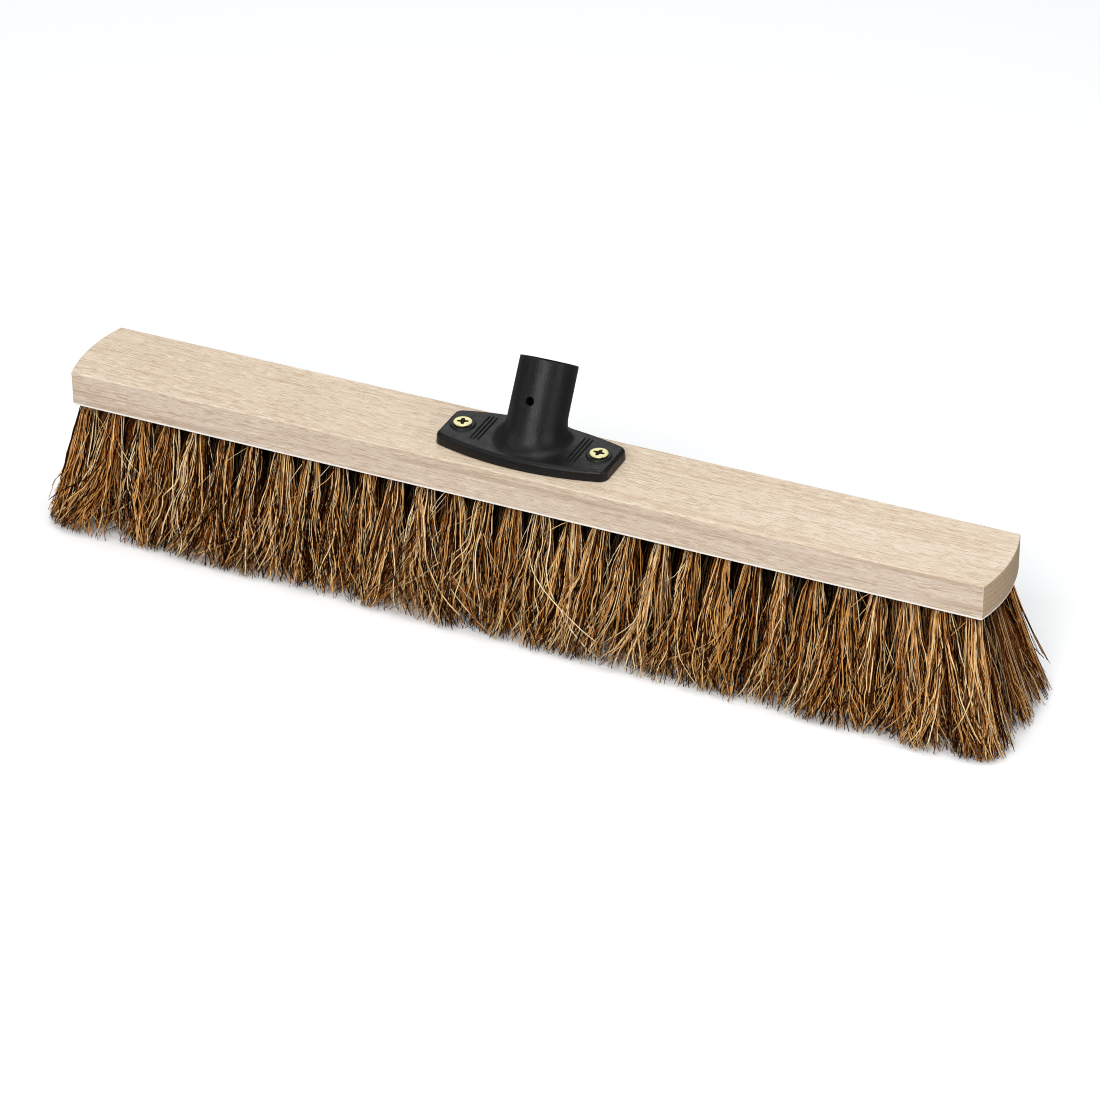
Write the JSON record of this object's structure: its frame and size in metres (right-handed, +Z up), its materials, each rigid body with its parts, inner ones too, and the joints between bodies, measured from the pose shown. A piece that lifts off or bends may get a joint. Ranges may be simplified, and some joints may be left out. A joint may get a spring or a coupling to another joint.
{
  "type": "push broom",
  "caption": "Push broom head: beech block with rows of flared coir bristle tufts and a screwed-on black moulded socket that holds a round handle at a lean.",
  "frame": {"origin": "middle of the sweeping plane, where the bristle tips meet the floor, under the centre of the block", "axes": "+X along the block, +Y towards the side the handle leans to, +Z up from the bristle tips to the block"},
  "size_m": [0.5328, 0.086, 0.1327],
  "materials": {
    "beech": "bare sanded beech, satin",
    "black_moulding": "satin moulded black plastic",
    "yellow_zinc": "yellow passivated zinc plating on steel, semi-gloss",
    "coir": "natural brown coconut fibre"
  },
  "bodies": {
    "brush_head": {"beech_block": "beech", "handle_socket": "black_moulding", "plate_screw_left": "yellow_zinc", "plate_screw_right": "yellow_zinc"},
    "bristle_row_1": {"row1_tufts_01": "coir", "row1_tufts_02": "coir", "row1_tufts_03": "coir", "row1_tufts_04": "coir", "row1_tufts_05": "coir", "row1_tufts_06": "coir", "row1_tufts_07": "coir", "row1_tufts_08": "coir", "row1_tufts_09": "coir", "row1_tufts_10": "coir", "row1_tufts_11": "coir"},
    "bristle_row_2": {"row2_tufts_01": "coir", "row2_tufts_02": "coir", "row2_tufts_03": "coir", "row2_tufts_04": "coir", "row2_tufts_05": "coir", "row2_tufts_06": "coir", "row2_tufts_07": "coir", "row2_tufts_08": "coir", "row2_tufts_09": "coir", "row2_tufts_10": "coir"},
    "bristle_row_3": {"row3_tufts_01": "coir", "row3_tufts_02": "coir", "row3_tufts_03": "coir", "row3_tufts_04": "coir", "row3_tufts_05": "coir", "row3_tufts_06": "coir", "row3_tufts_07": "coir", "row3_tufts_08": "coir", "row3_tufts_09": "coir", "row3_tufts_10": "coir", "row3_tufts_11": "coir"},
    "bristle_row_4": {"row4_tufts_01": "coir", "row4_tufts_02": "coir", "row4_tufts_03": "coir", "row4_tufts_04": "coir", "row4_tufts_05": "coir", "row4_tufts_06": "coir", "row4_tufts_07": "coir", "row4_tufts_08": "coir", "row4_tufts_09": "coir", "row4_tufts_10": "coir"},
    "bristle_row_5": {"row5_tufts_01": "coir", "row5_tufts_02": "coir", "row5_tufts_03": "coir", "row5_tufts_04": "coir", "row5_tufts_05": "coir", "row5_tufts_06": "coir", "row5_tufts_07": "coir", "row5_tufts_08": "coir", "row5_tufts_09": "coir", "row5_tufts_10": "coir", "row5_tufts_11": "coir"}
  },
  "joints": [
    {"name": "row1_flex", "type": "hinge", "parent": "brush_head", "child": "bristle_row_1", "pos_m": [0, -0.019, 0.067], "axis": [1, 0, 0], "range_deg": [-12, 12], "stiffness_Nm_per_rad": 0.8},
    {"name": "row2_flex", "type": "hinge", "parent": "brush_head", "child": "bristle_row_2", "pos_m": [0, -0.0095, 0.067], "axis": [1, 0, 0], "range_deg": [-12, 12], "stiffness_Nm_per_rad": 0.8},
    {"name": "row3_flex", "type": "hinge", "parent": "brush_head", "child": "bristle_row_3", "pos_m": [0, 0, 0.067], "axis": [1, 0, 0], "range_deg": [-12, 12], "stiffness_Nm_per_rad": 0.8},
    {"name": "row4_flex", "type": "hinge", "parent": "brush_head", "child": "bristle_row_4", "pos_m": [0, 0.0095, 0.067], "axis": [1, 0, 0], "range_deg": [-12, 12], "stiffness_Nm_per_rad": 0.8},
    {"name": "row5_flex", "type": "hinge", "parent": "brush_head", "child": "bristle_row_5", "pos_m": [0, 0.019, 0.067], "axis": [1, 0, 0], "range_deg": [-12, 12], "stiffness_Nm_per_rad": 0.8}
  ],
  "couplings": [
    {"joint": "row1_flex", "follows": "row3_flex", "ratio": 1},
    {"joint": "row2_flex", "follows": "row3_flex", "ratio": 1},
    {"joint": "row4_flex", "follows": "row3_flex", "ratio": 1},
    {"joint": "row5_flex", "follows": "row3_flex", "ratio": 1}
  ]
}
